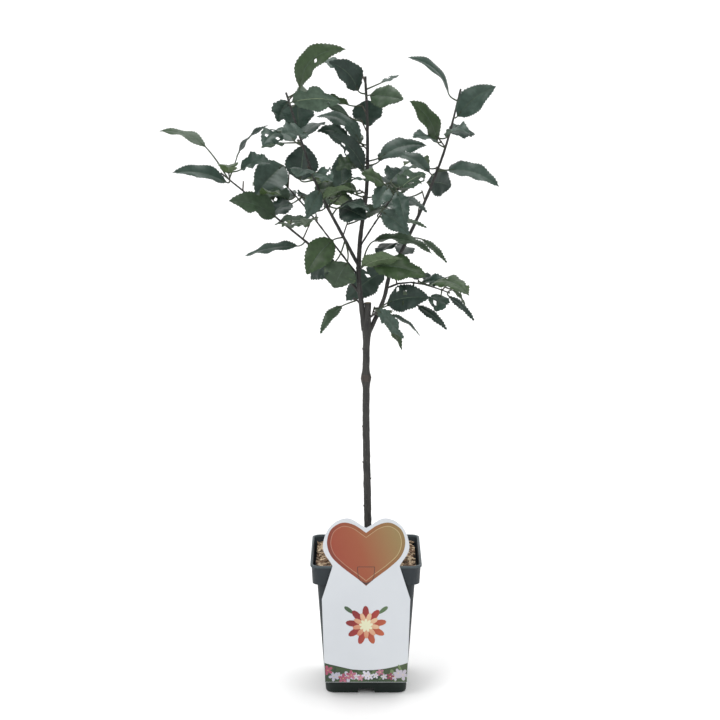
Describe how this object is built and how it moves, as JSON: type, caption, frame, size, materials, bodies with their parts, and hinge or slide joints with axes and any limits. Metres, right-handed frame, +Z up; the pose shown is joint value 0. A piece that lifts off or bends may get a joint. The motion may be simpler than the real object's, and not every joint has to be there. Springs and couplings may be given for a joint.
{
  "type": "potted apple tree",
  "caption": "Young bush apple tree with spreading leafy boughs, in a square tapered nursery pot with mulch and a heart-headed plant card at its front.",
  "frame": {"origin": "middle of the pot's flat underside, on the ground", "axes": "+Z up along the trunk, -Y towards the front, where the card stands"},
  "size_m": [0.56, 0.3393, 1.078],
  "materials": {
    "pot": "matt moulded nursery plastic",
    "soil": "loose bark mulch over potting soil",
    "card": "printed plastic sheet",
    "bark": "young bark, smooth with small pores",
    "leaf": "leaf, slightly waxy above and paler below"
  },
  "bodies": {
    "root": {"pot": "pot", "soil": "soil", "card": "card", "trunk": "bark", "leader": "bark", "bough_left_front": "bark", "bough_left_low": "bark", "bough_left_back": "bark", "bough_right_back": "bark", "bough_right_front": "bark", "leaves_top": "leaf", "leaves_left_front": "leaf", "leaves_left_low": "leaf", "leaves_left_back": "leaf", "leaves_right_back": "leaf", "leaves_right_front": "leaf", "leaves_right_low": "leaf", "leaves_fork": "leaf", "leaves_centre": "leaf", "leaves_leader_foot": "leaf"}
  },
  "joints": []
}
